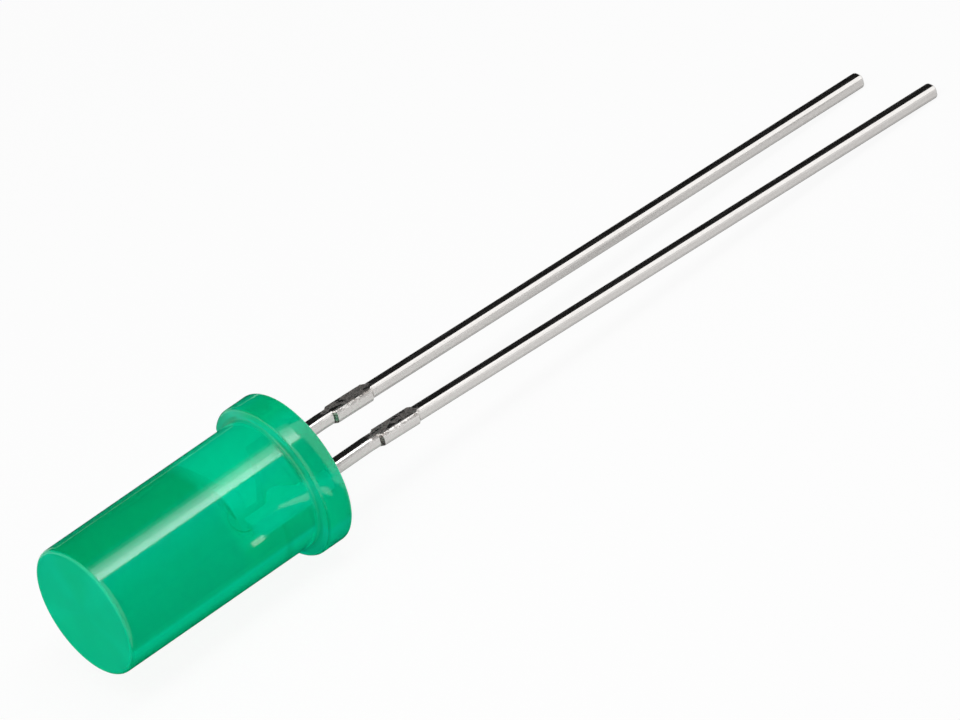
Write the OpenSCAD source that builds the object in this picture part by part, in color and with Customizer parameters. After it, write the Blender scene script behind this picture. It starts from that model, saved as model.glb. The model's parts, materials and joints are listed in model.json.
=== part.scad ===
// Round 5 mm indicator LED with a flat top, lying on its flange and both lead tips.
// Each piece is modelled upright, with the flange's underside at z = 0, the flat top up and
// the leads down, and lay_down() then puts it in the pose that the real one rests in.
// The floor is z = 0, and +X runs from the moulded body to the lead tips.

/* [Moulded body] */
// Diameter of the round body
body_d = 5; // [4.4:0.1:8]
// Height of the flat top above the flange's underside
body_h = 9.7; // [6:0.1:14]
// Radius of the edge round the flat top
top_edge_r = 0.18; // [0.05:0.01:0.5]
// Width of the flange's rim round the body
flange_rim = 0.45; // [0.35:0.01:0.9]
// Thickness of the flange
flange_t = 1.1; // [0.8:0.1:1.6]
// Radius of the flange's two edges
flange_edge_r = 0.12; // [0.05:0.01:0.2]
// Radius of the corner between the body and the flange
neck_r = 0.08; // [0.03:0.01:0.15]
// Width of the rim that is left at the flat, which marks the cathode
flat_rim = 0.05; // [0.03:0.01:0.2]

/* [Leads] */
// Side of the square leads
lead_w = 0.52; // [0.4:0.02:0.6]
// Radius of the leads' long corners
lead_corner_r = 0.17; // [0.03:0.01:0.18]
// Distance between the middles of the two leads
lead_pitch = 2.54; // [2.3:0.02:2.8]
// Length of the cathode lead below the flange
cathode_l = 27; // [12:0.5:40]
// How much longer the anode lead is
anode_extra = 1; // [0.5:0.1:3]
// Rounding at the cut ends of the leads
tip_r = 0.13; // [0.02:0.01:0.16]
// Height of the rounded lead inside the body, below the stamped frame
lead_root_h = 0.5; // [0.3:0.05:0.7]

/* [Bend] */
// Distance from the flange to the bend in both leads
bend_drop = 2.1; // [1:0.1:5]
// Radius of the bend, at the middle of a lead
bend_r = 3; // [1:0.5:8]
// Angle by which both leads lean towards the floor
lead_lean = 2.7; // [1:0.1:5]
// Angle by which the two leads spread apart
lead_spread = 0.6; // [0:0.1:3]

/* [Tie-bar stubs] */
// Distance along a lead from the bend to its stubs
stub_gap = 0.35; // [0.1:0.05:2]
// Length of the stubs along a lead
stub_l = 1.8; // [0.8:0.1:3]
// How far the stubs stand out of a lead
stub_out = 0.11; // [0.04:0.01:0.3]
// Length of the slope at each end of a stub
stub_slope = 0.12; // [0.04:0.01:0.3]

/* [Lead frame in the body] */
// Height of the cup's lip above the flange's underside
anvil_h = 3.5; // [3.1:0.1:4.6]
// Diameter of the anvil's round head
head_d = 1.2; // [1:0.02:1.4]
// Height of the cone under the round head
head_cone_t = 0.25; // [0.1:0.05:0.35]
// Height at which the anvil widens from its lead
anvil_foot_h = 1.3; // [1:0.05:1.6]
// Depth of the anvil below its lip on the side of the post
anvil_waist = 0.95; // [0.8:0.05:1.2]
// Depth of the anvil's outer corner below its lip
anvil_shoulder = 0.1; // [0:0.05:0.6]
// Gap between the anvil and the post
frame_gap = 0.34; // [0.2:0.02:0.44]
// Depth of the post's top below the cup's lip
post_drop = 0.1; // [0:0.05:0.3]
// Bevel at the outer corner of the post's top
post_bevel = 0.12; // [0.04:0.01:0.18]
// Distance from the axis to the tip of the post's flag
flag_reach = 0.5; // [0.4:0.02:0.7]
// Height of the flag's edge below the gap
flag_edge = 0.4; // [0.2:0.02:0.5]
// Corner radius of the stamped outline
stamp_r = 0.05; // [0.02:0.01:0.08]

/* [Reflector cup] */
// Width of the lip round the cup's mouth
cup_lip = 0.12; // [0.06:0.01:0.18]
// Depth of the cup
cup_depth = 0.3; // [0.22:0.01:0.4]
// Thickness of metal under the cup
cup_floor_t = 0.15; // [0.1:0.01:0.3]
// Width of bare cup floor beyond the corners of the die
cup_floor_margin = 0.05; // [0.03:0.01:0.08]

/* [Die and wire] */
// Side of the square die
die_w = 0.3; // [0.22:0.01:0.36]
// Height of the die
die_t = 0.2; // [0.12:0.01:0.25]
// Thickness of the adhesive under the die
glue_t = 0.03; // [0.02:0.005:0.05]
// How far the adhesive spreads beyond the corners of the die
glue_margin = 0.02; // [0.01:0.005:0.025]
// Diameter of the bond wire
wire_d = 0.03; // [0.02:0.005:0.04]
// Diameter of the ball at the die
ball_d = 0.09; // [0.06:0.01:0.12]
// Diameter of the wire's foot on the post
foot_d = 0.06; // [0.045:0.005:0.1]
// Height of the wire's control points above the cup's lip
loop_rise = 0.42; // [0.3:0.02:0.7]

/* [Hidden] */
$fn = 72;

// which side of the axis each lead is on
cathode_side = 1;
anode_side = -1;

body_r = body_d/2;
flange_r = body_r + flange_rim;
flat_y = body_r + flat_rim;

anode_l = cathode_l + anode_extra;
lead_outer_y = lead_pitch/2 + lead_w/2;
lead_inner_y = lead_pitch/2 - lead_w/2;

// the one bend of a lead leans and spreads it, so it is turned a little about the upright
bend_a = norm([lead_lean, lead_spread/2]);
bend_turn = atan2(lead_spread/2, lead_lean);
bend_l = bend_r*bend_a*PI/180;

head_r = head_d/2;
head_t = cup_depth + cup_floor_t;
cup_mouth_r = head_r - cup_lip;
die_corner_r = die_w/sqrt(2);
cup_floor_r = die_corner_r + cup_floor_margin;
cup_floor_h = anvil_h - cup_depth;
die_top_h = cup_floor_h + glue_t + die_t;

// the sheet's rounded lower corners are sunk in the leads
sheet_h = lead_root_h - stamp_r;
neck_h = anvil_h - head_t;
waist_h = anvil_h - anvil_waist;
shoulder_h = anvil_h - anvil_shoulder;
gap_slope = atan2(waist_h - anvil_foot_h, lead_inner_y + head_r);
post_h = anvil_h - post_drop;
post_inner_y = head_r + frame_gap;
pad_y = -(post_inner_y + lead_outer_y - post_bevel)/2;

corner_steps = 4;
tip_steps = 4;
bend_steps = 3;
wire_steps = 26;
wire_sides = 8;
// share of the wire's length that its ball and its foot take
ball_share = 0.05;
foot_share = 0.06;
// how far cutting shapes reach past what they cut
past = 1;

// v turned by a degrees
function turned(v, a) = [v.x*cos(a) - v.y*sin(a), v.x*sin(a) + v.y*cos(a)];

// a lead's bend is turned this much about the upright
function turn_of(side) = -side*bend_turn;

// Where a point of a lead is when upright: at this length below the flange, and this far off
// the lead's middle
function lead_point(side, length, off) =
    let (
        own = turned(off, -turn_of(side)),
        a = bend_a*max(0, min(1, (length - bend_drop)/bend_l)),
        run = max(0, length - bend_drop - bend_l),
        reach = bend_r + own.x,
        out = reach*cos(a) - bend_r - run*sin(a),
        p = turned([out, own.y], turn_of(side)),
        down = min(length, bend_drop) + reach*sin(a) + run*cos(a)
    )
    [p.x, side*lead_pitch/2 + p.y, -down];

// the lowest point of each tip when the part lies
tip_off = [-lead_w/2, lead_w/2 - lead_corner_r];
cathode_foot = lead_point(cathode_side, cathode_l - tip_r, tip_off);
anode_foot = lead_point(anode_side, anode_l - tip_r, tip_off);

// The floor touches both tips and the rounded edge of the flange, which fixes its roll and slope
foot_ratio = (anode_foot.z - cathode_foot.z)/(cathode_foot.z - flange_edge_r);
roll_x = anode_foot.x - cathode_foot.x - foot_ratio*cathode_foot.x;
roll_y = anode_foot.y - cathode_foot.y - foot_ratio*cathode_foot.y;
rest_roll = atan2(roll_y, roll_x) + acos(foot_ratio*flange_r/norm([roll_x, roll_y]));
foot_depth = flange_r + cathode_foot.x*cos(rest_roll) + cathode_foot.y*sin(rest_roll);
rest_slope = atan(foot_depth/(flange_edge_r - cathode_foot.z));
rest_z = (flange_r - flange_edge_r)*cos(rest_slope) - flange_edge_r*sin(rest_slope)
    + flange_edge_r;

// the middle of the length is over the origin
anode_end = lead_point(anode_side, anode_l, [0, 0]);
front_x = body_h*cos(rest_slope) + (body_r - top_edge_r)*sin(rest_slope);
back_x = anode_end.x*sin(rest_slope) - anode_end.z*cos(rest_slope);
rest_x = (front_x - back_x)/2;

module lay_down() {
    translate([rest_x, 0, rest_z])
        rotate([0, rest_slope - 90, 0])
            rotate([0, 0, -rest_roll])
                children();
}

// ---- the moulded body ----

// a rectangle from the axis outwards, with its outer top corner rounded
module rounded_top(r, h, edge_r) {
    square([r, h - edge_r]);
    square([r - edge_r, h]);
    translate([r - edge_r, h - edge_r])
        circle(edge_r);
}

module flange_profile() {
    translate([0, flange_edge_r])
        rounded_top(flange_r, flange_t - flange_edge_r, flange_edge_r);
    square([flange_r - flange_edge_r, flange_t/2]);
    translate([flange_r - flange_edge_r, flange_edge_r])
        circle(flange_edge_r);
}

module neck_profile() {
    translate([body_r, flange_t])
        difference() {
            translate([-neck_r, -neck_r])
                square(2*neck_r);
            translate([neck_r, neck_r])
                circle(neck_r);
        }
}

module moulding() {
    difference() {
        rotate_extrude() {
            flange_profile();
            neck_profile();
            rounded_top(body_r, body_h, top_edge_r);
        }
        translate([-flange_r, flat_y, -past])
            cube([2*flange_r, flange_rim + past, flange_t + 2*past]);
    }
}

module epoxy_body() {
    color([0, 0.7, 0.5])
        lay_down()
            difference() {
                moulding();
                cathode_form();
                anode_form();
                die_form();
                glue_form();
                wire_form();
            }
}

// a closed skin over rings of points that all run the same way round
module skin(rings) {
    n = len(rings[0]);
    last = len(rings) - 1;
    walls = [for (i = [0:last - 1], k = [0:n - 1])
        let (next = (k + 1) % n)
        each [
            [i*n + k, i*n + next, i*n + n + next],
            [i*n + k, i*n + n + next, i*n + n + k]
        ]];
    start = [for (k = [0:n - 1]) n - 1 - k];
    end = [for (k = [0:n - 1]) last*n + k];
    polyhedron(points = [for (ring = rings) each ring], faces = concat([start], walls, [end]));
}

// ---- the leads below the flange ----

// a rectangle's outline, clockwise when seen from the cut end's side; its corners shrink with it
function section(half_x, half_y) =
    let (r = lead_corner_r*min(half_x, half_y)/(lead_w/2))
    [for (q = [0:3], k = [0:corner_steps])
        let (
            a = 90*(q + k/corner_steps),
            x = (q == 0 || q == 3 ? 1 : -1)*(half_x - r),
            y = (q < 2 ? 1 : -1)*(half_y - r)
        )
        [x + r*cos(a), y + r*sin(a)]];

function lead_ring(side, length, half_x, half_y) =
    [for (p = section(half_x, half_y)) lead_point(side, length, p)];

// one lead from inside the flange to its cut end, with what shearing the tie bar left on it
module outer_lead(length, side) {
    half = lead_w/2;
    wide = half + stub_out;
    stub_start = bend_drop + bend_l + stub_gap;
    stub_end = stub_start + stub_l;
    skin([
        lead_ring(side, -lead_root_h, half, half),
        for (k = [0:bend_steps])
            lead_ring(side, bend_drop + bend_l*k/bend_steps, half, half),
        lead_ring(side, stub_start, half, half),
        lead_ring(side, stub_start + stub_slope, half, wide),
        lead_ring(side, stub_end - stub_slope, half, wide),
        lead_ring(side, stub_end, half, half),
        for (k = [0:tip_steps])
            let (a = 90*k/tip_steps, end = half - tip_r*(1 - cos(a)))
            lead_ring(side, length - tip_r*(1 - sin(a)), end, end)
    ]);
}

// ---- the lead frame inside the body ----

// the arc that replaces the corner at p, from the side of a to the side of b
function corner_arc(a, p, b, r) =
    let (
        u = (a - p)/norm(a - p),
        v = (b - p)/norm(b - p),
        half = acos(u*v)/2,
        centre = p + (u + v)/norm(u + v)*r/sin(half),
        from = p + u*r/tan(half) - centre,
        to = p + v*r/tan(half) - centre
    )
    [for (k = [0:corner_steps])
        let (w = from + (to - from)*k/corner_steps)
        centre + w*r/norm(w)];

function rounded(points, r) =
    let (n = len(points))
    [for (i = [0:n - 1])
        each corner_arc(points[(i + n - 1) % n], points[i], points[(i + 1) % n], r)];

// the stamped sheet, from its outline of [y, z] points
module stamped(outline) {
    rotate([90, 0, 90])
        linear_extrude(lead_w, center = true)
            polygon(rounded(outline, stamp_r));
}

// height of the anvil's sloping lower edge at this distance from the axis
function gap_h(y) = anvil_foot_h + (lead_inner_y - y)*tan(gap_slope);

module anvil() {
    stamped([
        [lead_inner_y, sheet_h],
        [lead_outer_y, sheet_h],
        [lead_outer_y, shoulder_h],
        [head_r, neck_h],
        [-head_r, neck_h],
        [-head_r, waist_h],
        [lead_inner_y, anvil_foot_h]
    ]);
}

// the coined round head, with the cone that carries it and the cup in its top
module cup_head() {
    difference() {
        union() {
            translate([0, 0, neck_h - stamp_r])
                cylinder(h = head_t + stamp_r, r = head_r);
            translate([0, 0, neck_h - stamp_r - head_cone_t])
                cylinder(h = head_cone_t, r1 = lead_w/2, r2 = head_r);
        }
        translate([0, 0, cup_floor_h])
            cylinder(h = cup_depth, r1 = cup_floor_r, r2 = cup_mouth_r);
    }
}

module cathode_form() {
    outer_lead(cathode_l, cathode_side);
    difference() {
        anvil();
        translate([0, 0, cup_floor_h])
            cylinder(h = cup_depth, r1 = cup_floor_r, r2 = cup_mouth_r);
    }
    cup_head();
}

module cathode_lead() {
    color([0.78, 0.78, 0.8])
        lay_down()
            cathode_form();
}

// the post carries the wire, and its flag follows the anvil's edge at the same gap
module post() {
    under_gap = frame_gap/cos(gap_slope);
    flag_top = gap_h(-flag_reach) - under_gap;
    stamped([
        [-lead_outer_y, sheet_h],
        [-lead_inner_y, sheet_h],
        [-lead_inner_y, flag_top - flag_edge - lead_inner_y + flag_reach],
        [-flag_reach, flag_top - flag_edge],
        [-flag_reach, flag_top],
        [-post_inner_y, gap_h(-post_inner_y) - under_gap],
        [-post_inner_y, post_h],
        [post_bevel - lead_outer_y, post_h],
        [-lead_outer_y, post_h - post_bevel]
    ]);
}

module anode_form() {
    outer_lead(anode_l, anode_side);
    post();
}

module anode_lead() {
    color([0.78, 0.78, 0.8])
        lay_down()
            anode_form();
}

// ---- the die, its adhesive and its wire ----

module die_form() {
    translate([-die_w/2, -die_w/2, cup_floor_h + glue_t])
        cube([die_w, die_w, die_t]);
}

module led_die() {
    color([0.75, 0.7, 0.25])
        lay_down()
            die_form();
}

module glue_form() {
    translate([0, 0, cup_floor_h])
        cylinder(h = glue_t, r = die_corner_r + glue_margin);
}

module die_attach() {
    color([0.6, 0.6, 0.6])
        lay_down()
            glue_form();
}

// the wire's middle line, which leaves the die and meets the post upright
loop_h = anvil_h + loop_rise;
loop_points = [[0, die_top_h], [0, loop_h], [pad_y, loop_h], [pad_y, post_h]];

function loop_at(t) =
    let (s = 1 - t)
    s*s*s*loop_points[0] + 3*s*s*t*loop_points[1]
    + 3*s*t*t*loop_points[2] + t*t*t*loop_points[3];

function loop_way(t) =
    let (s = 1 - t)
    s*s*(loop_points[1] - loop_points[0]) + 2*s*t*(loop_points[2] - loop_points[1])
    + t*t*(loop_points[3] - loop_points[2]);

// radius of the wire, which swells to its ball and to its foot
function wire_r(t) =
    let (
        ball = max(0, 1 - t/ball_share),
        foot = max(0, 1 - (1 - t)/foot_share)
    )
    (wire_d + (ball_d - wire_d)*sqrt(ball) + (foot_d - wire_d)*foot)/2;

function wire_ring(t) =
    let (
        p = loop_at(t),
        way = loop_way(t)/norm(loop_way(t)),
        r = wire_r(t)
    )
    [for (k = [0:wire_sides - 1])
        let (a = 360*k/wire_sides)
        [r*cos(a), p.x + r*sin(a)*way.y, p.y - r*sin(a)*way.x]];

module wire_form() {
    skin([for (i = [0:wire_steps]) wire_ring(i/wire_steps)]);
}

module bond_wire() {
    color([0.9, 0.7, 0.25])
        lay_down()
            wire_form();
}

epoxy_body();
cathode_lead();
anode_lead();
led_die();
die_attach();
bond_wire();
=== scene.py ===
import json
import math
import bpy
from mathutils import Matrix, Vector


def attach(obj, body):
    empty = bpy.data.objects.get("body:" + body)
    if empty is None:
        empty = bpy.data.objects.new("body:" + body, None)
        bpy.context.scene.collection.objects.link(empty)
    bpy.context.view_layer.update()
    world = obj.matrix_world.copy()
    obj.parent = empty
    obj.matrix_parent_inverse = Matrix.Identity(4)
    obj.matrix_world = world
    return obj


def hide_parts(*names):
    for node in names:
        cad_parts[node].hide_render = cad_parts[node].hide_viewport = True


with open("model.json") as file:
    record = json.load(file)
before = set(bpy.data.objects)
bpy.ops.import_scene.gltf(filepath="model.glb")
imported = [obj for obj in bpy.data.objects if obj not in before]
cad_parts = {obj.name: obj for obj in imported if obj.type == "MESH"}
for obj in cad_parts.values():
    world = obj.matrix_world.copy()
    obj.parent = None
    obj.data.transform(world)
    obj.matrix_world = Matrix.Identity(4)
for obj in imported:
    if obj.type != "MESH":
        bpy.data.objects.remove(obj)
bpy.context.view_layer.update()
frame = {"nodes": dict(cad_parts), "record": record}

mm = 0.001
nodes = frame["nodes"]
mounts = {mount["name"]: mount for mount in frame["record"]["mounts"]}
seat = Vector(mounts["board_seat"]["pos_m"])  # middle of the flange's underside
bodyWay = Vector(mounts["barrel"]["axis"])  # from the flange to the flat top
upWay = Vector((0, 1, 0)).cross(bodyWay)  # square to the body's axis
print("frame loaded:", ", ".join(sorted(nodes)))


class Wire:  # a node's output socket, so that sums read as sums
    def __init__(self, tree, socket):
        self.tree, self.socket = tree, socket

    def math(self, operation, first, second=0.0):
        return node(self.tree, "Math", {"operation": operation}, {0: first, 1: second})

    def __add__(self, other):
        return self.math("ADD", self, other)

    def __sub__(self, other):
        return self.math("SUBTRACT", self, other)

    def __rsub__(self, other):
        return self.math("SUBTRACT", other, self)

    def __mul__(self, other):
        return self.math("MULTIPLY", self, other)

    def __rmul__(self, other):
        return self.math("MULTIPLY", other, self)

    def __pow__(self, other):
        return self.math("POWER", self, other)


def node(tree, kind, settings=None, sockets=None, output=0):
    made = tree.nodes.new("ShaderNode" + kind)
    for name, value in (settings or {}).items():
        if name == "stops":
            ramp = made.color_ramp.elements
            while len(ramp) < len(value):
                ramp.new(0.5)
            for element, (place, colour) in zip(ramp, value):
                element.position = place
                element.color = (*colour, 1)
        else:
            setattr(made, name, value)
    for name, value in (sockets or {}).items():
        if isinstance(value, Wire):
            tree.links.new(value.socket, made.inputs[name])
        else:
            made.inputs[name].default_value = value
    return Wire(tree, made.outputs[output])


def newMaterial(name):
    material = bpy.data.materials.new(name)
    material.use_nodes = True
    material.node_tree.nodes.clear()
    return material, material.node_tree


def objectPlace(tree):
    return node(tree, "TexCoord", output="Object")


def dress(name, material):
    piece = nodes[name]
    piece.data.materials.clear()
    piece.data.materials.append(material)


def noise(tree, place, size, detail=3, roughness=0.5, stretch=(1, 1, 1)):
    place = node(tree, "Mapping", {}, {"Vector": place, "Scale": stretch})
    return node(tree, "TexNoise", {}, {"Vector": place, "Scale": 1/size, "Detail": detail,
                                       "Roughness": roughness})


def ramp(tree, value, low, high, toLow=0.0, toHigh=1.0):
    return node(tree, "MapRange", {}, {0: value, 1: low, 2: high, 3: toLow, 4: toHigh})


def along(tree, place, way=bodyWay):  # distance above the flange's underside
    onWay = node(tree, "VectorMath", {"operation": "DOT_PRODUCT"}, {0: place, 1: way}, "Value")
    return onWay - seat.dot(way)


def darker(colour, share):
    return tuple(share*c for c in colour)


def blend(tree, share, first, second):
    first, second = [(*c, 1) if isinstance(c, tuple) else c for c in (first, second)]
    return node(tree, "Mix", {"data_type": "RGBA"}, {0: share, 6: first, 7: second}, 2)


def mixShader(tree, share, first, second):
    return node(tree, "MixShader", {}, {0: share, 1: first, 2: second})


def finishMaterial(tree, surface, volume=None):
    sockets = {"Surface": surface}
    if volume:
        sockets["Volume"] = volume
    out = tree.nodes.new("ShaderNodeOutputMaterial")
    for name, wire in sockets.items():
        tree.links.new(wire.socket, out.inputs[name])


# ---- moulded body ----

epoxyBody = {
    "radius": 2.5, "height": 9.7, "topEdge": 0.18,
    "flangeRadius": 2.95, "flangeThick": 1.1, "flangeEdge": 0.12,
    "neck": 0.08, "flat": 2.55, "roll": 2.08,
    "sides": 160, "edgeSteps": 5,
    "fit": 0.9993,  # keeps its finer curves inside the CAD solid
    "smoothAngle": 30,
}

epoxyLook = {
    # painted light and shade: the green is made lighter or deeper on its way round the body, by
    # degrees from overhead, in place of the light and shade inside the resin
    "flangePaintedLight": ((0, (0, 0.86, 0.43)), (9, (0, 0.9, 0.45)), (20, (0, 0.97, 0.66)),
                    (30, (0, 1.0, 0.72)), (42, (0, 0.8, 0.52)), (64, (0, 0.8, 0.5)),
                    (74, (0, 0.95, 0.66)), (88, (0, 0.93, 0.56)), (104, (0, 0.92, 0.56)),
                    (110, (0, 1.0, 0.8)), (120, (0, 1.0, 0.68)), (130, (0, 0.9, 0.6))),
    "neckPaintedLight": ((0, (0, 1.0, 0.7)), (22, (0, 0.95, 0.65)), (30, (0, 0.6, 0.34)),
                  (58, (0, 0.6, 0.34)), (68, (0, 0.95, 0.66)), (90, (0, 0.8, 0.5))),
    "backPaintedLight": ((0, (0, 1.0, 0.7)), (30, (0, 1.0, 0.72)), (38, (0, 1.0, 0.84)),
                  (52, (0, 1.0, 0.74)), (62, (0, 0.94, 0.64)), (80, (0, 1.0, 0.7)),
                  (87, (0, 0.77, 0.45)), (103, (0, 0.73, 0.42)), (107.5, (0, 1.0, 0.85)),
                  (115, (0, 1.0, 0.72)), (124, (0, 0.86, 0.55))),
    "frontPaintedLight": ((0, (0, 0.62, 0.3)), (18, (0, 0.62, 0.3)), (36, (0, 0.93, 0.85)),
                   (45, (0, 0.87, 0.7)), (60, (0, 0.75, 0.54)), (94, (0, 0.66, 0.44)),
                   (103, (0, 0.72, 0.47)), (108, (0, 1.0, 0.85)), (115, (0, 0.97, 0.75)),
                   (124, (0, 0.74, 0.45))),
    "paintedFrontFrom": 4.05, "paintedFrontTo": 4.6,  # where the front's painted light and shade takes over, above the flange's underside, in mm
    "clearShare": 0.97,
    "neckFrom": 1.38, "neckTo": 1.26,  # above the flange's underside, in mm
    "flangeFrom": 2.62, "flangeTo": 2.68,  # from the axis, in mm
    "cloudSize": 2.0, "cloudDrift": 0.6,  # in mm, and how far it moves the tones' border
    "milk": 400.0, "milkWay": 0.3,
    "tint": (0.0, 0.998, 0.977),
    "tintDepth": 3000.0,
    "bend": 1.5,  # index of refraction
    "gloss": 0.05, "skinSize": 0.6,
    # the crease above the flange is rougher: where it begins and ends, in mm
    "creaseTop": (1.3, 1.2), "creaseFoot": (1.05, 1.1), "creaseRough": 0.3,
    "frost": (0.0, 0.9, 0.5),  # the moulded grain of the flat top
    "frostShare": 0.5,
    "frostGloss": 0.3, "frostShine": 0.12,
}


def selectEdges(mesh, test):
    bpy.ops.object.mode_set(mode="OBJECT")
    points = mesh.vertices
    for edge in mesh.edges:
        edge.select = all(test(points[i].co) for i in edge.vertices)
    bpy.ops.object.mode_set(mode="EDIT")


def makeMouldedBody():
    b = epoxyBody
    bpy.ops.object.select_all(action="DESELECT")
    bpy.ops.mesh.primitive_cylinder_add(vertices=b["sides"], radius=b["flangeRadius"],
                                        depth=b["flangeThick"],
                                        location=(0, 0, b["flangeThick"]/2))
    piece = bpy.context.object
    piece.name = "moulded_body"
    mesh = piece.data
    bpy.ops.object.transform_apply(location=True)
    bpy.ops.object.mode_set(mode="EDIT")
    bpy.ops.mesh.select_mode(type="FACE")
    bpy.ops.mesh.select_all(action="DESELECT")
    bpy.ops.object.mode_set(mode="OBJECT")
    for face in mesh.polygons:
        face.select = face.normal.z > 0.9
    bpy.ops.object.mode_set(mode="EDIT")
    bpy.ops.mesh.inset(thickness=b["flangeRadius"] - b["radius"])
    bpy.ops.mesh.extrude_region_move(
        TRANSFORM_OT_translate={"value": (0, 0, b["height"] - b["flangeThick"])})
    bpy.ops.mesh.select_mode(type="EDGE")
    near = 0.001  # in mm, as all of this shape until it is scaled
    for height, radius, width in ((0, b["flangeRadius"], b["flangeEdge"]),
                                  (b["flangeThick"], b["flangeRadius"], b["flangeEdge"]),
                                  (b["flangeThick"], b["radius"], b["neck"]),
                                  (b["height"], b["radius"], b["topEdge"])):
        bpy.ops.mesh.select_all(action="DESELECT")
        selectEdges(mesh, lambda p: abs(p.z - height) < near and abs(p.xy.length - radius) < near)
        bpy.ops.mesh.bevel(offset=width, segments=b["edgeSteps"], profile=0.5, affect="EDGES")
    bpy.ops.mesh.select_all(action="SELECT")
    bpy.ops.mesh.bisect(plane_co=(0, b["flat"], 0), plane_no=(0, 1, 0), use_fill=True,
                        clear_outer=True, threshold=1e-5)
    bpy.ops.object.mode_set(mode="OBJECT")
    slope = math.asin(bodyWay.z)
    mesh.transform(Matrix.Translation(seat) @ Matrix.Rotation(slope - math.pi/2, 4, "Y")
                   @ Matrix.Rotation(math.radians(b["roll"]), 4, "Z")
                   @ Matrix.Scale(b["fit"]*mm, 4))
    bpy.ops.object.shade_smooth_by_angle(angle=math.radians(b["smoothAngle"]))
    bpy.ops.object.modifier_add(type="WEIGHTED_NORMAL")  # the long walls shade straight
    steady = piece.modifiers[0]
    steady.keep_sharp, steady.weight = True, 100
    bpy.ops.object.modifier_apply(modifier=steady.name)
    return piece


def epoxyMaterial():
    look = epoxyLook
    material, tree = newMaterial("milky_green_epoxy")
    place = objectPlace(tree)
    height = along(tree, place)
    cloud = noise(tree, place, look["cloudSize"]*mm, 2)
    border = height + (cloud - 0.5)*(look["cloudDrift"]*mm)
    # painted shade and light: the front of the body gets its own tone table, with a darker band
    # on one side
    paintedFrontShare = ramp(tree, border, look["paintedFrontFrom"]*mm, look["paintedFrontTo"]*mm)
    side = node(tree, "SeparateXYZ", {}, {"Vector": place}, "Y")
    side = side.math("ABSOLUTE", side)
    up = along(tree, place, upWay)
    turn = side.math("ARCTAN2", side, up)*(1/math.pi)
    # painted light and shade: tone tables for the flange, the crease above it (darker, as painted
    # shade), the back and the front
    flange, neck, back, front = [
        node(tree, "ValToRGB", {"stops": [(angle/180, colour) for angle, colour in look[part]]},
             {"Fac": turn}) for part in ("flangePaintedLight", "neckPaintedLight", "backPaintedLight", "frontPaintedLight")]
    onNeck = ramp(tree, height, look["neckFrom"]*mm, look["neckTo"]*mm)
    onFlange = ramp(tree, (side*side + up*up)**0.5, look["flangeFrom"]*mm, look["flangeTo"]*mm)
    colour = blend(tree, onNeck, blend(tree, paintedFrontShare, back, front), neck)
    colour = blend(tree, onFlange, colour, flange)
    skin = noise(tree, place, look["skinSize"]*mm, 3)
    (topHigh, topLow), (footLow, footHigh) = look["creaseTop"], look["creaseFoot"]
    inCrease = (ramp(tree, height, topHigh*mm, topLow*mm)
                * ramp(tree, height, footLow*mm, footHigh*mm))
    clear = node(tree, "BsdfPrincipled", {}, {
        "Base Color": colour,
        "Roughness": (ramp(tree, skin, 0.3, 0.7, look["gloss"], look["gloss"] + 0.05)
                      + inCrease*look["creaseRough"]),
        "IOR": look["bend"],
        "Transmission Weight": look["clearShare"],
    })
    frost = node(tree, "BsdfPrincipled", {}, {
        "Base Color": blend(tree, ramp(tree, cloud, 0.35, 0.65), darker(look["frost"], 0.92),
                            look["frost"]),
        "Roughness": look["frostGloss"],
        "IOR": look["bend"],
        "Specular IOR Level": look["frostShine"],
    })
    onTop = ramp(tree, height, (epoxyBody["height"] - 0.1)*mm, (epoxyBody["height"] - 0.02)*mm)
    surface = mixShader(tree, onTop*look["frostShare"], clear, frost)
    milk = node(tree, "VolumeScatter", {}, {"Color": (1, 1, 1, 1), "Density": look["milk"],
                                            "Anisotropy": look["milkWay"]})
    tint = node(tree, "VolumeAbsorption", {}, {"Color": (*look["tint"], 1),
                                               "Density": look["tintDepth"]})
    finishMaterial(tree, surface, node(tree, "AddShader", {}, {0: milk, 1: tint}))
    return material


mouldedBody = makeMouldedBody()
mouldedBody.data.materials.append(epoxyMaterial())
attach(mouldedBody, "root")
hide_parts("epoxy_body")
print("moulded body made")

# ---- leads ----

leadLook = {
    "tin": (0.97, 0.945, 0.92),
    "shade": (0.9, 0.865, 0.835),
    # painted shade: how bright the darker tone on their flanks and then on their undersides
    # leaves them
    "flankShadeShare": 0.58, "underShadeShare": 0.6,
    "gloss": 0.2,
    # the grains' sizes in mm
    "drawnSize": 0.12, "grainSize": 0.05, "scuffSize": 0.22, "crumbSize": 0.09,
    # where shearing the tie bar rubbed the plating off, in mm below the flange; the same zone
    # holds the painted dark reflection on the slopes towards the body
    "bareFrom": 2.3, "bareTo": 4.55,
    "bare": (0.3, 0.26, 0.235), "bareDark": (0.02, 0.016, 0.014),
    "bareGloss": 0.4, "bareMetal": 0.65,
    "plate": (0.97, 0.96, 0.94),  # the silver plating inside the epoxy
    "plateGloss": 0.5, "plateMetal": 0.15,
}


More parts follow.
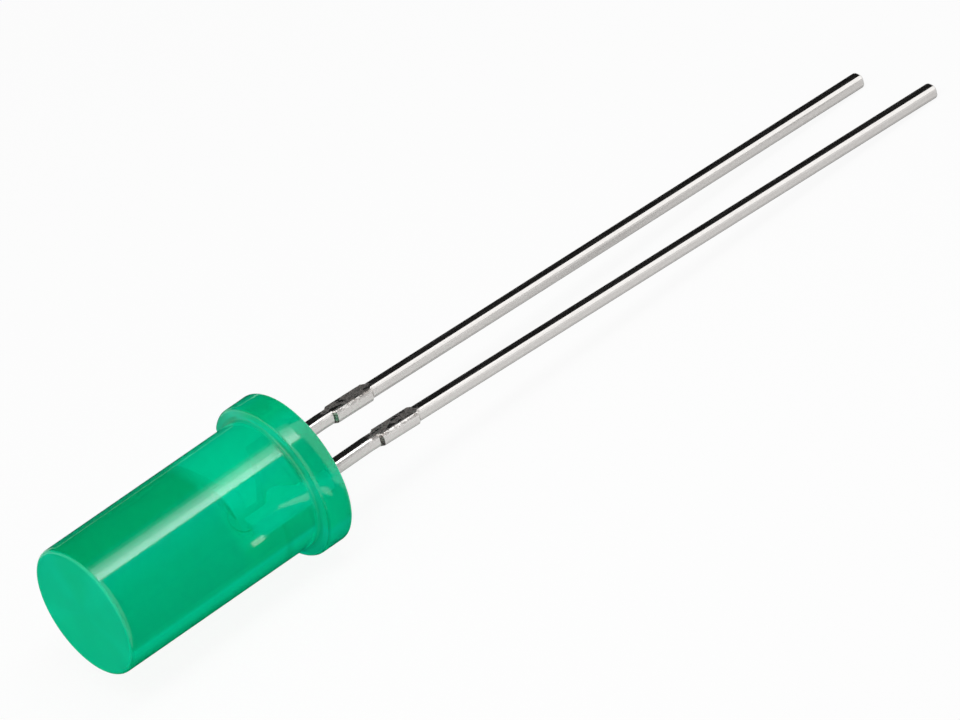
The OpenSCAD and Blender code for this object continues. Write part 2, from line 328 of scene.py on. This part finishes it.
def tinMaterial():
    look = leadLook
    material, tree = newMaterial("dull_bright_tin")
    place = objectPlace(tree)
    height = along(tree, place)
    inside = ramp(tree, height, -0.00002, 0.00002)
    drawn = noise(tree, place, look["drawnSize"]*mm, 3, 0.6, (0.04, 1, 1))
    grain = noise(tree, place, look["grainSize"]*mm, 3, 0.5, (0.3, 1, 1))
    scuff = noise(tree, place, look["scuffSize"]*mm, 4, 0.65, (0.6, 1, 1))
    crumb = noise(tree, place, look["crumbSize"]*mm, 3, 0.6)
    below = height*(-1/mm) + (scuff - 0.5)*0.7  # in mm, with a ragged end
    sheared = (ramp(tree, below, look["bareFrom"], look["bareFrom"] + 0.15)
               * ramp(tree, below, look["bareTo"], look["bareTo"] - 0.15))
    normal = node(tree, "NewGeometry", output="Normal")
    upward = node(tree, "SeparateXYZ", {}, {"Vector": normal}, "Z")
    facing = node(tree, "VectorMath", {"operation": "DOT_PRODUCT"},
                  {0: normal, 1: bodyWay}, "Value")  # the stubs' slopes towards the body
    rubbed = ramp(tree, upward, 0.35, 0.75)*ramp(tree, scuff, 0.42, 0.54)*0.85
    # slopes towards the body: dark specks of bare steel, and a painted dark reflection
    slope = ramp(tree, facing, 0.2, 0.45)*ramp(tree, scuff, 0.36, 0.5, 0.35, 0.95)
    bare = sheared*rubbed.math("MAXIMUM", rubbed, slope)
    fine = ramp(tree, grain, 0.35, 0.7)
    # painted shade: flanks and undersides made darker than the tops
    bright = (ramp(tree, upward, -0.3, 0.45, look["flankShadeShare"])
              * ramp(tree, upward, -0.75, -0.1, look["underShadeShare"]))
    colour = blend(tree, bright, (0, 0, 0), blend(tree, fine, look["tin"], look["shade"]))
    colour = blend(tree, bare, colour, blend(tree, ramp(tree, crumb, 0.42, 0.58),
                                             look["bareDark"], look["bare"]))
    gloss = ramp(tree, drawn, 0.3, 0.7, look["gloss"] - 0.05, look["gloss"] + 0.06)
    gloss = gloss + bare*(look["bareGloss"] - gloss)
    bump = node(tree, "Bump", {}, {"Height": drawn + bare*crumb*3, "Distance": 0.000004,
                                   "Strength": 0.5})
    surface = node(tree, "BsdfPrincipled", {}, {
        "Base Color": blend(tree, inside, colour, look["plate"]),
        "Metallic": 1 - bare*(1 - look["bareMetal"]) - inside*(1 - look["plateMetal"]),
        "Roughness": gloss + inside*(look["plateGloss"] - gloss),
        "Normal": bump,
    })
    finishMaterial(tree, surface)
    return material


tin = tinMaterial()
dress("cathode_lead", tin)
dress("anode_lead", tin)
print("leads dressed")

# ---- die, adhesive and wire ----

innerLook = {
    "crystal": (0.55, 0.5, 0.12),
    "silver": (0.62, 0.61, 0.58),
    "gold": (1.0, 0.74, 0.32),
}


def innerMaterial(name, colour, metallic, roughness, size):
    material, tree = newMaterial(name)
    grain = noise(tree, objectPlace(tree), size, 3)
    surface = node(tree, "BsdfPrincipled", {}, {
        "Base Color": blend(tree, ramp(tree, grain, 0.3, 0.7), colour,
                            darker(colour, 0.75)),
        "Metallic": metallic,
        "Roughness": ramp(tree, grain, 0.3, 0.7, roughness, roughness + 0.15),
    })
    finishMaterial(tree, surface)
    return material


dress("led_die", innerMaterial("die_crystal", innerLook["crystal"], 0.0, 0.15, 0.00008))
dress("die_attach", innerMaterial("silver_adhesive", innerLook["silver"], 0.8, 0.45, 0.00003))
dress("bond_wire", innerMaterial("gold_wire", innerLook["gold"], 1.0, 0.2, 0.00005))
print("inner pieces dressed")

# ---- camera ----

cameraLook = {
    "azimuth": -29.61, "elevation": 36.52, "roll": -18.64,
    "aim": (-1.0245*mm, -0.328*mm, 2*mm), "distance": 1.0035,
    "lens": 1098.83, "sensor": 36.0,
}


def cameraWay():  # from the part to the camera
    azimuth, elevation = [math.radians(cameraLook[k]) for k in ("azimuth", "elevation")]
    return Vector((math.sin(azimuth)*math.cos(elevation),
                   -math.cos(azimuth)*math.cos(elevation), math.sin(elevation)))


def makeCamera():
    look, back = cameraLook, cameraWay()
    bpy.ops.object.camera_add()
    camera = bpy.context.object
    camera.name = "camera"
    camera.data.lens, camera.data.sensor_width = look["lens"], look["sensor"]
    camera.data.clip_start, camera.data.clip_end = 0.01, 20
    camera.matrix_world = (Matrix.Translation(Vector(look["aim"]) + back*look["distance"])
                           @ back.to_track_quat("Z", "Y").to_matrix().to_4x4()
                           @ Matrix.Rotation(math.radians(look["roll"]), 4, "Z"))
    bpy.context.scene.camera = camera


makeCamera()
print("camera made")

# ---- studio ----

studio = {
    "floorSize": 6.0,
    "floorColour": (0.8, 0.8, 0.8),
    # share of plain white that each kind of ray sees in the floor
    "cameraWhite": 0.92, "glossyWhite": 0.2, "clearWhite": 0.2,
    "fill": 0.5,  # strength of the world as a light
    "fillWay": (-0.3, -0.85, 0.1),  # the side that it comes from most
    "fillTilt": 0.5,  # how much more from that side, 0 is even
    # what stands round the part goes by degrees from overhead to the camera's side
    "radius": 60, "farRadius": 460,
    # lamps: from, to, left, right and how bright; all lengths here are in mm
    "keys": ((-5.0, 2.0, -60, 20.2, 0.4), (2.0, 7.5, -60, 20.2, 1.4),
             (7.5, 13.0, -60, 20.2, 2.8), (13.0, 17.5, -60, 20.2, 5.4),
             (17.5, 23.8, -60, 20.2, 6.6)),
    "cloth": (-95, -0.5, -400, 800),  # black cloth that deepens reflections
    "band": (26, 93, 4.5, 22.7),  # black band that only the moulded body mirrors
    # small white cards that only the moulded body mirrors, as glints: how bright, how far off
    # and the glint's corners, by mm above the flange's underside and degrees round the body
    "cards": ((1.6, 6, ((2.62, 70.7), (1.12, 81.2), (1.19, 74.1), (2.53, 68.7))),
              (4.0, 4, ((3.52, 81.2), (3.47, 86.3), (4.02, 86.3), (4.07, 81.2)))),
    # black sheets on the floor: corners in mm
    "sheetHeight": 0.05,
    "sheets": (((-27, -4), (-19, -4), (-19, 14), (-27, 14)),
               ((-22, 0.5), (-9.4, 0.5), (18.6, -60), (4, -60)),
               ((-18, 3), (-4, 3), (60, 150), (48, 150))),
}


def seenShare(tree, camera=1.0, glossy=1.0, clear=1.0):  # how much each kind of ray sees
    rays = [node(tree, "LightPath", output="Is %s Ray" % kind)
            for kind in ("Camera", "Glossy", "Transmission")]
    return rays[0]*camera + rays[1]*(1 - rays[2])*glossy + rays[2]*clear


def makeFloor():
    bpy.ops.object.select_all(action="DESELECT")
    bpy.ops.mesh.primitive_plane_add(size=studio["floorSize"])
    floor = bpy.context.object
    floor.name = "floor"
    material, tree = newMaterial("pale_floor")
    paint = node(tree, "BsdfDiffuse", {}, {"Color": (*studio["floorColour"], 1)})
    white = node(tree, "Emission", {}, {"Color": (1, 1, 1, 1), "Strength": 1.0})
    share = seenShare(tree, studio["cameraWhite"], studio["glossyWhite"], studio["clearWhite"])
    finishMaterial(tree, mixShader(tree, share, paint, white))
    floor.data.materials.append(material)


def makeWorld():
    world = bpy.data.worlds.new("studio")
    bpy.context.scene.world = world
    world.use_nodes = True
    tree = world.node_tree
    tree.nodes.clear()
    way = node(tree, "TexCoord", output="Generated")
    tilt = node(tree, "VectorMath", {"operation": "DOT_PRODUCT"},
                {0: way, 1: Vector(studio["fillWay"]).normalized()}, "Value")
    fill = (tilt*studio["fillTilt"] + 1)*studio["fill"]
    seen = seenShare(tree)
    sky = node(tree, "Background", {}, {"Color": (1, 1, 1, 1),
                                        "Strength": seen + (1 - seen)*fill})
    out = tree.nodes.new("ShaderNodeOutputWorld")
    tree.links.new(sky.socket, out.inputs["Surface"])


def roundPart(start, end, left, right, radius):  # its place, length and height
    middle, half = math.radians((start + end)/2), math.radians((end - start)/2)
    turn = Matrix.Rotation(middle, 4, "X")
    place = Matrix.Translation(((left + right)/2*mm, 0, seat.z)) @ turn
    return (place @ Matrix.Translation((0, 0, radius*mm)), (right - left)*mm,
            2*radius*mm*math.tan(half))


def makeKey(start, end, left, right, bright):
    place, length, height = roundPart(start, end, left, right, studio["radius"])
    bpy.ops.object.select_all(action="DESELECT")
    bpy.ops.object.light_add(type="AREA")
    key = bpy.context.object
    key.name = "key"
    key.data.shape = "RECTANGLE"
    key.data.size, key.data.size_y = length, height
    key.data.energy = bright*math.pi*length*height
    key.visible_transmission = False  # the milk inside glows from the white around it
    key.matrix_world = place


def hang(cloth, material):  # only what is mirrored shows it
    cloth.name = material.name
    cloth.data.materials.append(material)
    cloth.visible_camera = cloth.visible_diffuse = cloth.visible_shadow = False
    cloth.visible_transmission = cloth.visible_volume_scatter = False


def makeCloth(corners, material):
    bpy.ops.object.select_all(action="DESELECT")
    bpy.ops.mesh.primitive_plane_add(size=1)
    cloth = bpy.context.object
    for point, corner in zip(cloth.data.vertices, (corners[i] for i in (0, 1, 3, 2))):
        point.co = corner
    hang(cloth, material)


def makeBand(material):
    start, end, left, right = studio["band"]
    bpy.ops.object.select_all(action="DESELECT")
    bpy.ops.mesh.primitive_cylinder_add(vertices=360, radius=studio["radius"]*mm,
                                        depth=(right - left)*mm, end_fill_type="NOTHING")
    band = bpy.context.object
    band.data.transform(Matrix.Translation(((left + right)/2*mm, 0, seat.z))
                        @ Matrix.Rotation(math.pi/2, 4, "Y"))
    bpy.ops.object.mode_set(mode="EDIT")
    bpy.ops.mesh.select_mode(type="FACE")
    bpy.ops.mesh.select_all(action="DESELECT")
    bpy.ops.object.mode_set(mode="OBJECT")
    for face in band.data.polygons:
        angle = math.degrees(math.atan2(-face.center.y, face.center.z - seat.z))
        face.select = not start < angle < end
    bpy.ops.object.mode_set(mode="EDIT")
    bpy.ops.mesh.delete(type="FACE")
    bpy.ops.object.mode_set(mode="OBJECT")
    hang(band, material)


def mirrored(height, angle, distance):  # the place that the camera sees in this spot
    angle, toCamera = math.radians(angle), cameraWay()
    out = upWay*math.cos(angle) - Vector((0, 1, 0))*math.sin(angle)
    spot = seat + (bodyWay*height + out*epoxyBody["radius"])*mm
    return spot + (2*toCamera.dot(out)*out - toCamera)*distance*mm


def makeCloths():
    material, tree = newMaterial("black_cloth")
    finishMaterial(tree, node(tree, "BsdfDiffuse", {}, {"Color": (0.01, 0.01, 0.01, 1)}))
    place, length, height = roundPart(*studio["cloth"], studio["farRadius"])
    x, y = length/2, height/2
    corners = ((-x, -y, 0), (x, -y, 0), (x, y, 0), (-x, y, 0))
    makeCloth([place @ Vector(corner) for corner in corners], material)
    makeBand(material)
    for sheet in studio["sheets"]:
        makeCloth([Vector((x, y, studio["sheetHeight"]))*mm for x, y in sheet], material)
    for bright, distance, corners in studio["cards"]:
        material, tree = newMaterial("white_card")
        finishMaterial(tree, node(tree, "Emission", {}, {"Color": (1, 0.95, 0.92, 1),
                                                         "Strength": bright}))
        makeCloth([mirrored(*corner, distance) for corner in corners], material)


makeFloor()
makeWorld()
for key in studio["keys"]:
    makeKey(*key)
makeCloths()
print("studio made")

scene = bpy.context.scene
scene.view_settings.view_transform = "Standard"
scene.cycles.volume_bounces = 24
scene.cycles.max_bounces = 32
scene.cycles.transmission_bounces = 24
